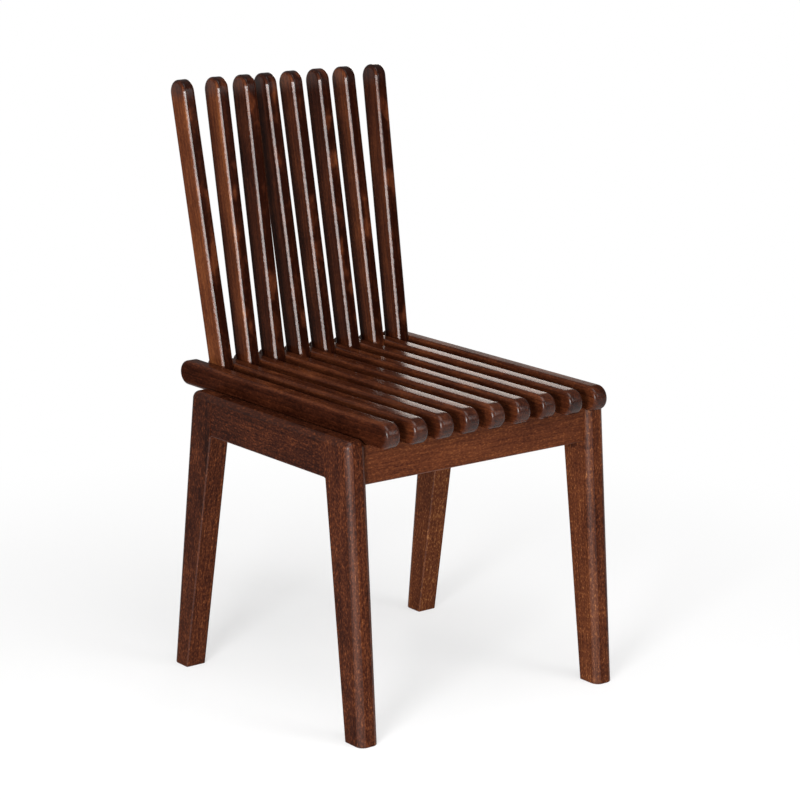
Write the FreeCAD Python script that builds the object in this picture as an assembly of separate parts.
import FreeCAD, Part
import math
import os

# Slatted wooden side chair, in millimetres. +Z is up, the front of the seat faces -Y.
# The origin is on the floor, under the middle of the chair's outer box.
# Places along Y are first measured back from the front end of the foremost seat slat (setback),
# or forward from its rear end (inset).

# Frame: thickness runs across the chair, depth from front to back
overall_width = 460.0
leg_thickness = 33.0
leg_outer_rounding_share = 0.36
leg_top_rounding_share = 0.33
leg_inner_edge_radius = 2.5
foot_edge_radius = 1.5
front_foot_setback = 10.9
front_foot_depth = 37.5
front_leg_lean_degrees = 4.663
front_leg_top_depth = 59.0
front_leg_splay = 1.3
rear_foot_inset = 67.1
rear_foot_depth = 36.5
rear_leg_knee_inset = 128.1
rear_leg_top_inset = 131.1
rear_leg_top_depth = 54.0
rear_leg_splay = 5.0

# Rails
side_rail_height = 59.0
side_rail_rise = 9.0
cross_rail_height = 56.0
cross_rail_thickness = 24.0
front_rail_setback = 51.4
rear_rail_inset = 106.6
rail_edge_radius = 2.5

# Seat slats, spread evenly between the side rails. Their thickness is a share of their pitch.
# They are laid by eye, each a little further back than the foremost; the shares go from -X to +X.
seat_height = 450.0
seat_slat_count = 9
seat_slat_height = 36.0
seat_slat_length = 500.0
seat_slat_thickness_share = 0.5435
seat_slat_side_gap = 0.5
seat_slat_step_back = 4.4
seat_slat_step_shares = [0.55, 0.2, 0.55, 1.0, 1.0, 1.0, 1.0, 0.1, 0.0]
slat_rounding_share = 0.24

# Back slats, each held between two neighbouring seat slats.
# Each leans a little sideways of its own; the shares go from -X to +X.
back_top_height = 856.0
back_slat_depth = 37.2
back_slat_side_clearance = 0.25
back_slat_inset = 56.1
back_lean_degrees = 11.7
back_sideways_lean = 17.0
back_sideways_shares = [-0.6, 0.2, 0.38, -0.13, -0.09, 0.1, 0.27, 1.0]

# Tenons on the rails, and their play in the legs
tenon_clearance = 0.15
side_tenon_length = 14.0
side_tenon_thickness = 11.0
side_tenon_height = 34.0
cross_tenon_length = 20.0
cross_tenon_thickness = 8.0
cross_tenon_height = 36.0

# Dowels that run across the chair through the seat slats and the back slats.
# They end inside the two outer seat slats, after this share of their thickness.
dowel_diameter = 8.0
dowel_clearance = 0.05
dowel_blind_share = 0.6
dowel_spacing_back = 18.0
dowel_spacing_up = 14.0

# Corner blocks inside the frame
block_leg = 60.0
block_height = 34.0
block_nose = 12.0
block_drop = 12.0
block_screw_inset = 36.0
block_screw_seat = 14.0

# Wood screws
screw_shank_diameter = 4.5
screw_head_diameter = 8.6
screw_head_height = 3.0
screw_clearance = 0.05
counterbore_diameter = 10.0
slat_screw_length = 44.0
slat_screw_counterbore = 32.0
block_screw_length = 30.0

# How far cutting shapes reach past what they cut, and how near counts as the same place
cut_overrun = 5.0
place_tolerance = 0.05

os.makedirs("parts", exist_ok=True)

V = FreeCAD.Vector
ALONG_X = V(1, 0, 0)
ALONG_Y = V(0, 1, 0)
ALONG_Z = V(0, 0, 1)

# Sizes that follow from the ones above
leg_outer_edge_radius = leg_thickness * leg_outer_rounding_share
leg_top_radius = leg_thickness * leg_top_rounding_share
seat_underside = seat_height - seat_slat_height
frame_top = seat_underside + side_rail_rise
side_rail_bottom = frame_top - side_rail_height
cross_rail_bottom = seat_underside - cross_rail_height
frame_inner_x = overall_width / 2 - leg_thickness
leg_middle_x = overall_width / 2 - leg_thickness / 2
rear_rail_setback = seat_slat_length - rear_rail_inset

seat_inner_width = 2 * (frame_inner_x - seat_slat_side_gap)
seat_slat_pitch = seat_inner_width / (seat_slat_count - 1 + seat_slat_thickness_share)
seat_slat_thickness = seat_slat_pitch * seat_slat_thickness_share
outer_slat_x = (seat_inner_width - seat_slat_thickness) / 2
back_slat_count = seat_slat_count - 1
back_slat_thickness = seat_slat_pitch - seat_slat_thickness - 2 * back_slat_side_clearance

lean = math.radians(back_lean_degrees)
back_slat_setback = seat_slat_length - back_slat_inset
back_end_radius = back_slat_depth / 2
back_end_z = back_top_height - back_end_radius
back_end_setback = back_slat_setback + (back_end_z - seat_height) * math.tan(lean)
overall_depth = back_end_setback + back_end_radius


def from_front(setback):
    """Y of a place that lies this far behind the front end of the foremost seat slat."""
    return setback - overall_depth / 2


def from_rear(inset):
    """Y of a place that lies this far ahead of the rear end of the foremost seat slat."""
    return from_front(seat_slat_length - inset)


def seat_slat_x(number):
    """Middle of a seat slat, numbered from 0 on the -X side."""
    return -outer_slat_x + number * seat_slat_pitch


def back_slat_x(number):
    """Middle of the space between two seat slats, numbered from 0 on the -X side."""
    return (seat_slat_x(number) + seat_slat_x(number + 1)) / 2


# Small helpers

def save(node, shape):
    """Writes one piece as a STEP file and reports its solids and volume."""
    shape.exportStep("parts/" + node + ".step")
    print(node, "solids", len(shape.Solids), "valid", shape.isValid(), "volume", round(shape.Volume))


def same_place(a, b):
    return abs(a - b) < place_tolerance


def edge_middle(edge):
    return edge.valueAt((edge.FirstParameter + edge.LastParameter) / 2)


def runs_along(edge, direction):
    """True for an edge that runs more along a direction than across it."""
    return abs(edge.tangentAt(edge.FirstParameter).dot(direction)) > math.cos(math.radians(45))


def round_edges(shape, radius, wanted):
    """Rounds the edges for which wanted(edge) holds."""
    edges = [edge for edge in shape.Edges if wanted(edge)]
    return shape.makeFillet(radius, edges)


def main_solid(shape):
    return max(shape.Solids, key=lambda solid: solid.Volume)


def cut_all(shape, tools):
    """Cuts only the tools that reach the shape, and keeps the main solid."""
    near = [tool for tool in tools if tool.BoundBox.intersect(shape.BoundBox)]
    if near:
        shape = shape.cut(near)
    return main_solid(shape)


def box_between(x_range, y_range, z_range):
    size = [high - low for low, high in (x_range, y_range, z_range)]
    return Part.makeBox(size[0], size[1], size[2], V(x_range[0], y_range[0], z_range[0]))


def slab(low, high):
    """Everything between two heights, wider and deeper than the chair."""
    reach = overall_width + overall_depth
    return box_between((-reach, reach), (-reach, reach), (low, high))


def plate_across_x(outline, x_middle, thickness):
    """Extrudes a closed outline, given as (Y, Z) corners, across the chair."""
    x_start = x_middle - thickness / 2
    corners = [V(x_start, y, z) for y, z in outline]
    face = Part.Face(Part.makePolygon(corners + corners[:1]))
    return face.extrude(ALONG_X * thickness)


def lean_sideways(shape, x, z, distance, height):
    """Turns a piece about a line along Y, so that a point this much higher moves by distance."""
    turned = shape.copy()
    turned.rotate(V(x, 0, z), ALONG_Y, math.degrees(math.atan(distance / height)))
    return turned


def rounded_bar(edges, thickness):
    """A bar across X from a side outline, with its edges on both sides rounded."""
    face = Part.Face(Part.Wire(edges))
    x_start = face.BoundBox.XMin
    x_end = x_start + thickness
    bar = face.extrude(ALONG_X * thickness)

    def on_a_side(edge):
        x = edge_middle(edge).x
        return (same_place(x, x_start) or same_place(x, x_end)) and not runs_along(edge, ALONG_X)
    return round_edges(bar, thickness * slat_rounding_share, on_a_side)


# Slats of the seat

def seat_slat_blank(number):
    """A bar with half-round ends, all its long edges rounded."""
    radius = seat_slat_height / 2
    x_start = seat_slat_x(number) - seat_slat_thickness / 2
    setback = seat_slat_step_back * seat_slat_step_shares[number % len(seat_slat_step_shares)]
    y_front = from_front(setback + radius)
    y_rear = from_front(setback + seat_slat_length - radius)
    z_middle = seat_height - radius
    top_front = V(x_start, y_front, seat_height)
    top_rear = V(x_start, y_rear, seat_height)
    low_front = V(x_start, y_front, seat_underside)
    low_rear = V(x_start, y_rear, seat_underside)
    rear_tip = V(x_start, y_rear + radius, z_middle)
    front_tip = V(x_start, y_front - radius, z_middle)
    outline = [
        Part.LineSegment(top_front, top_rear).toShape(),
        Part.Arc(top_rear, rear_tip, low_rear).toShape(),
        Part.LineSegment(low_rear, low_front).toShape(),
        Part.Arc(low_front, front_tip, top_front).toShape(),
    ]
    return rounded_bar(outline, seat_slat_thickness)


def dowel_places():
    """(Y, Z) of the two dowels, set along the lean of the back slats."""
    z_middle = (seat_height + seat_underside) / 2
    y_middle = from_front(back_slat_setback) - (seat_height - z_middle) * math.tan(lean)
    return {
        "front_cross_dowel": (y_middle - dowel_spacing_back / 2, z_middle - dowel_spacing_up / 2),
        "rear_cross_dowel": (y_middle + dowel_spacing_back / 2, z_middle + dowel_spacing_up / 2),
    }


def dowel(place, clearance):
    """A dowel, or with a clearance the hole for it, ending inside the two outer seat slats."""
    y, z = place
    blind_depth = seat_slat_thickness * dowel_blind_share
    x_end = outer_slat_x - seat_slat_thickness / 2 + blind_depth + clearance
    return Part.makeCylinder(dowel_diameter / 2 + clearance, 2 * x_end, V(-x_end, y, z), ALONG_X)


def dowel_holes():
    return [dowel(place, dowel_clearance) for place in dowel_places().values()]


# Slats of the back

def back_slat_outline(x_start):
    """Side view of a leaning slat: half round at the top, its foot running on below the seat."""
    along = V(0, math.sin(lean), math.cos(lean))
    rearward = V(0, math.cos(lean), -math.sin(lean))
    end_middle = V(x_start, from_front(back_end_setback), back_end_z)
    front_end = end_middle - rearward * back_end_radius
    rear_end = end_middle + rearward * back_end_radius
    tip = end_middle + along * back_end_radius
    down = along * ((front_end.z - seat_underside + back_slat_depth) / math.cos(lean))
    front_foot = front_end - down
    rear_foot = rear_end - down
    return [
        Part.LineSegment(front_foot, front_end).toShape(),
        Part.Arc(front_end, tip, rear_end).toShape(),
        Part.LineSegment(rear_end, rear_foot).toShape(),
        Part.LineSegment(rear_foot, front_foot).toShape(),
    ]


def back_slat_blank(number):
    """A slat that leans back and a little sideways. Its foot is pared to the space between two
    seat slats, and cut level with their undersides."""
    share = back_sideways_shares[number % len(back_sideways_shares)]
    x_middle = back_slat_x(number)
    bar = rounded_bar(back_slat_outline(x_middle - back_slat_thickness / 2), back_slat_thickness)
    rise = back_top_height - seat_underside
    bar = lean_sideways(bar, x_middle, seat_underside, share * back_sideways_lean, rise)
    bar = bar.common(slab(seat_underside, back_top_height + cut_overrun))
    depth_range = (-overall_depth, overall_depth)
    foot_range = (seat_underside - cut_overrun, seat_height)
    near = back_slat_thickness / 2
    far = seat_slat_pitch
    waste = [
        box_between((x_middle - far, x_middle - near), depth_range, foot_range),
        box_between((x_middle + near, x_middle + far), depth_range, foot_range),
    ]
    return main_solid(bar.cut(waste))


# Legs

def y_on_line(low, high, z):
    """Y at height z on the straight line between two (Y, Z) points."""
    return low[0] + (high[0] - low[0]) * (z - low[1]) / (high[1] - low[1])


def leg_lines(at_front):
    """The outer side of a leg in side view and the side that faces the frame, upwards from the floor."""
    if at_front:
        outer_foot = from_front(front_foot_setback)
        outer_top = outer_foot + frame_top * math.tan(math.radians(front_leg_lean_degrees))
        inner = [(outer_foot + front_foot_depth, 0), (outer_top + front_leg_top_depth, frame_top)]
        return [(outer_foot, 0), (outer_top, frame_top)], inner
    outer_foot = from_rear(rear_foot_inset) + rear_foot_depth
    outer_top = from_rear(rear_leg_top_inset) + rear_leg_top_depth
    inner = [
        (from_rear(rear_foot_inset), 0),
        (from_rear(rear_leg_knee_inset), side_rail_bottom),
        (from_rear(rear_leg_top_inset), frame_top),
    ]
    return [(outer_foot, 0), (outer_top, frame_top)], inner


def run_on(line):
    """The same line of points with its first and last stretch run on past the floor and the top."""
    below = -cut_overrun
    above = frame_top + cut_overrun
    start = (y_on_line(line[0], line[1], below), below)
    end = (y_on_line(line[-2], line[-1], above), above)
    return [start] + line[1:-1] + [end]


def splayed(board, side, at_front):
    """Sets the foot of a leg a little outwards, and cuts the leg level at the floor and the top."""
    splay = front_leg_splay if at_front else rear_leg_splay
    board = lean_sideways(board, side * leg_middle_x, frame_top, -side * splay, frame_top)
    return board.common(slab(0, frame_top))


def squared_leg(side, at_front):
    outer, inner = leg_lines(at_front)
    outline = run_on(outer) + run_on(inner)[::-1]
    return plate_across_x(outline, side * leg_middle_x, leg_thickness)


def sharp_leg(side, at_front):
    """The leg before its edges are rounded. The end of the side rail fits its face."""
    return splayed(squared_leg(side, at_front), side, at_front)


def leg_blank(side, at_front):
    """A leg with its outer edges and its top well rounded. The edges that face the frame are eased
    below the side rail, and stay sharp beside it, where the two pieces are sanded flush."""
    outer, inner = leg_lines(at_front)
    leg = squared_leg(side, at_front)

    def lies_on(line):
        stretches = list(zip(run_on(line), run_on(line)[1:]))

        def test(edge):
            point = edge_middle(edge)
            on_line = [same_place(point.y, y_on_line(low, high, point.z))
                       for low, high in stretches if low[1] < point.z < high[1]]
            return runs_along(edge, ALONG_Z) and any(on_line)
        return test
    leg = round_edges(leg, leg_outer_edge_radius, lies_on(outer))
    above = slab(side_rail_bottom, frame_top + 2 * cut_overrun)
    beside_rail = leg.common(above)
    below_rail = round_edges(leg.cut(above), leg_inner_edge_radius, lies_on(inner))
    leg = splayed(below_rail.fuse(beside_rail).removeSplitter(), side, at_front)
    rail_end_y = inner[-1][0]

    def top_but_rail_end(edge):
        point = edge_middle(edge)
        return same_place(point.z, frame_top) and abs(point.y - rail_end_y) > leg_inner_edge_radius
    leg = round_edges(leg, leg_top_radius, top_but_rail_end)

    def under_the_foot(edge):
        return same_place(edge_middle(edge).z, 0)
    return main_solid(round_edges(leg, foot_edge_radius, under_the_foot))


def rail_end_y(at_front, z):
    """Where the face of a leg that a side rail meets lies at height z."""
    inner = leg_lines(at_front)[1]
    return y_on_line(inner[-2], inner[-1], z)


# Rails and their tenons

def side_tenon(side, at_front, clearance):
    """Tenon at one end of a side rail, or with a clearance its mortise."""
    half = side_tenon_thickness / 2 + clearance
    z_middle = side_rail_bottom + (side_rail_height - leg_top_radius) / 2
    z_range = (z_middle - side_tenon_height / 2 - clearance, z_middle + side_tenon_height / 2 + clearance)
    x_range = (side * leg_middle_x - half, side * leg_middle_x + half)
    shoulder = rail_end_y(at_front, z_middle)
    reach = side_tenon_length + clearance
    if at_front:
        return box_between(x_range, (shoulder - reach, shoulder + side_tenon_length), z_range)
    return box_between(x_range, (shoulder - side_tenon_length, shoulder + reach), z_range)


def side_rail(side):
    """A rail between two legs, flush with their outer faces, its top edges rounded like theirs."""
    y_range = (rail_end_y(True, side_rail_bottom) - cut_overrun, rail_end_y(False, side_rail_bottom) + cut_overrun)
    x_range = (side * leg_middle_x - leg_thickness / 2, side * leg_middle_x + leg_thickness / 2)
    bar = box_between(x_range, y_range, (side_rail_bottom, frame_top))

    def top_edge(edge):
        return runs_along(edge, ALONG_Y) and same_place(edge_middle(edge).z, frame_top)

    def bottom_edge(edge):
        return runs_along(edge, ALONG_Y) and same_place(edge_middle(edge).z, side_rail_bottom)
    bar = round_edges(bar, leg_top_radius, top_edge)
    bar = round_edges(bar, rail_edge_radius, bottom_edge)
    bar = main_solid(bar.cut([sharp_leg(side, True), sharp_leg(side, False)]))
    return bar.fuse([side_tenon(side, True, 0), side_tenon(side, False, 0)]).removeSplitter()


def cross_rail_y(setback):
    return (from_front(setback), from_front(setback + cross_rail_thickness))


def cross_tenon(side, setback, clearance):
    """Tenon at one end of the front or rear rail, or with a clearance its mortise."""
    y_front, y_rear = cross_rail_y(setback)
    y_middle = (y_front + y_rear) / 2
    z_middle = cross_rail_bottom + cross_rail_height / 2
    half_y = cross_tenon_thickness / 2 + clearance
    half_z = cross_tenon_height / 2 + clearance
    x_tip = frame_inner_x + cross_tenon_length + clearance
    x_root = frame_inner_x - cross_tenon_length
    x_range = (x_root, x_tip) if side > 0 else (-x_tip, -x_root)
    return box_between(x_range, (y_middle - half_y, y_middle + half_y), (z_middle - half_z, z_middle + half_z))


def cross_rail(setback, legs):
    """The front or rear rail. Its ends are scribed round the rounded corners of the legs."""
    x_reach = frame_inner_x + leg_outer_edge_radius
    rail = box_between((-x_reach, x_reach), cross_rail_y(setback), (cross_rail_bottom, seat_underside))

    def long_edge(edge):
        return runs_along(edge, ALONG_X)
    rail = round_edges(rail, rail_edge_radius, long_edge)
    rail = main_solid(rail.cut(legs))
    tenons = [cross_tenon(side, setback, 0) for side in (-1, 1)]
    return rail.fuse(tenons).removeSplitter()


# Screws

def screw(length, head_at, direction):
    """A countersunk wood screw. head_at is the middle of its flat head, direction the way it was driven."""
    shank_radius = screw_shank_diameter / 2
    head = Part.makeCone(screw_head_diameter / 2, shank_radius, screw_head_height, head_at, direction)
    point_length = screw_shank_diameter
    straight = length - screw_head_height - point_length
    shank = Part.makeCylinder(shank_radius, straight, head_at + direction * screw_head_height, direction)
    point_at = head_at + direction * (screw_head_height + straight)
    point = Part.makeCone(shank_radius, shank_radius / 4, point_length, point_at, direction)
    return head.fuse([shank, point]).removeSplitter()


def screw_hole(length, head_at, direction, counterbore):
    """The hole for such a screw, with a counterbore of the given length behind its head."""
    shank_radius = screw_shank_diameter / 2 + screw_clearance
    head_radius = screw_head_diameter / 2 + screw_clearance
    sink = Part.makeCone(head_radius, shank_radius, screw_head_height, head_at, direction)
    bore = Part.makeCylinder(shank_radius, length + screw_clearance, head_at, direction)
    access = Part.makeCylinder(counterbore_diameter / 2, counterbore, head_at, direction * -1)
    return access.fuse([sink, bore])


def slat_screw_places(setback):
    """Where the heads of the screws sit that hold the seat slats down on one rail."""
    y_front, y_rear = cross_rail_y(setback)
    z_head = cross_rail_bottom + slat_screw_counterbore
    return [V(seat_slat_x(number), (y_front + y_rear) / 2, z_head) for number in range(seat_slat_count)]


def slat_screws(setback):
    return Part.makeCompound([screw(slat_screw_length, place, ALONG_Z) for place in slat_screw_places(setback)])


def slat_screw_holes(setback):
    reach = slat_screw_counterbore + cut_overrun
    return [screw_hole(slat_screw_length, place, ALONG_Z, reach) for place in slat_screw_places(setback)]


# Corner blocks

def block_corner(side, at_front):
    """The inner corner of the frame that a block fills, and the way towards the middle along Y."""
    if at_front:
        return V(side * frame_inner_x, cross_rail_y(front_rail_setback)[1], 0), 1
    return V(side * frame_inner_x, cross_rail_y(rear_rail_setback)[0], 0), -1


def corner_block_blank(side, at_front):
    """A three-cornered block with blunt ends, glued into one corner below the seat slats."""
    corner, inward = block_corner(side, at_front)
    z_bottom = seat_underside - block_drop - block_height
    outline = [(0, 0), (block_leg, 0), (block_leg, block_nose), (block_nose, block_leg), (0, block_leg)]
    corners = [V(corner.x - side * x, corner.y + inward * y, z_bottom) for x, y in outline]
    face = Part.Face(Part.makePolygon(corners + corners[:1]))
    return face.extrude(ALONG_Z * block_height)


def block_screw_places(side, at_front):
    """Head places and directions of the two screws of a block."""
    corner, inward = block_corner(side, at_front)
    z = seat_underside - block_drop - block_height / 2
    into_cross_rail = V(corner.x - side * block_screw_inset, corner.y + inward * block_screw_seat, z)
    into_side_rail = V(corner.x - side * block_screw_seat, corner.y + inward * block_screw_inset, z)
    return [(into_cross_rail, V(0, -inward, 0)), (into_side_rail, V(side, 0, 0))]


def all_block_screw_places():
    places = []
    for side in (-1, 1):
        for at_front in (True, False):
            places += block_screw_places(side, at_front)
    return places


def block_screws():
    return Part.makeCompound([screw(block_screw_length, place, way) for place, way in all_block_screw_places()])


def block_screw_holes():
    return [screw_hole(block_screw_length, place, way, block_leg) for place, way in all_block_screw_places()]


# The pieces, made and written one after another

side_names = {-1: "left", 1: "right"}
end_names = {True: "front", False: "rear"}
rail_setbacks = {True: front_rail_setback, False: rear_rail_setback}
slat_holes = {at_front: slat_screw_holes(setback) for at_front, setback in rail_setbacks.items()}
block_holes = block_screw_holes()
holes_across = dowel_holes()

for at_front, end_name in end_names.items():
    setback = rail_setbacks[at_front]
    legs = {side: leg_blank(side, at_front) for side in side_names}
    for side, side_name in side_names.items():
        mortises = [side_tenon(side, at_front, tenon_clearance), cross_tenon(side, setback, tenon_clearance)]
        save(side_name + "_" + end_name + "_leg", cut_all(legs[side], mortises + block_holes))
        block = cut_all(corner_block_blank(side, at_front), block_holes + list(legs.values()))
        save(side_name + "_" + end_name + "_corner_block", block)
    rail = cross_rail(setback, list(legs.values()))
    save(end_name + "_rail", cut_all(rail, slat_holes[at_front] + block_holes))
    save(end_name + "_slat_screws", slat_screws(setback))

for side, side_name in side_names.items():
    save(side_name + "_side_rail", cut_all(side_rail(side), block_holes))

save("corner_block_screws", block_screws())

for number in range(seat_slat_count):
    cuts = holes_across + slat_holes[True] + slat_holes[False]
    save("seat_slat_" + str(number + 1), cut_all(seat_slat_blank(number), cuts))

for number in range(back_slat_count):
    save("back_slat_" + str(number + 1), cut_all(back_slat_blank(number), holes_across))

for node, place in dowel_places().items():
    save(node, dowel(place, 0))
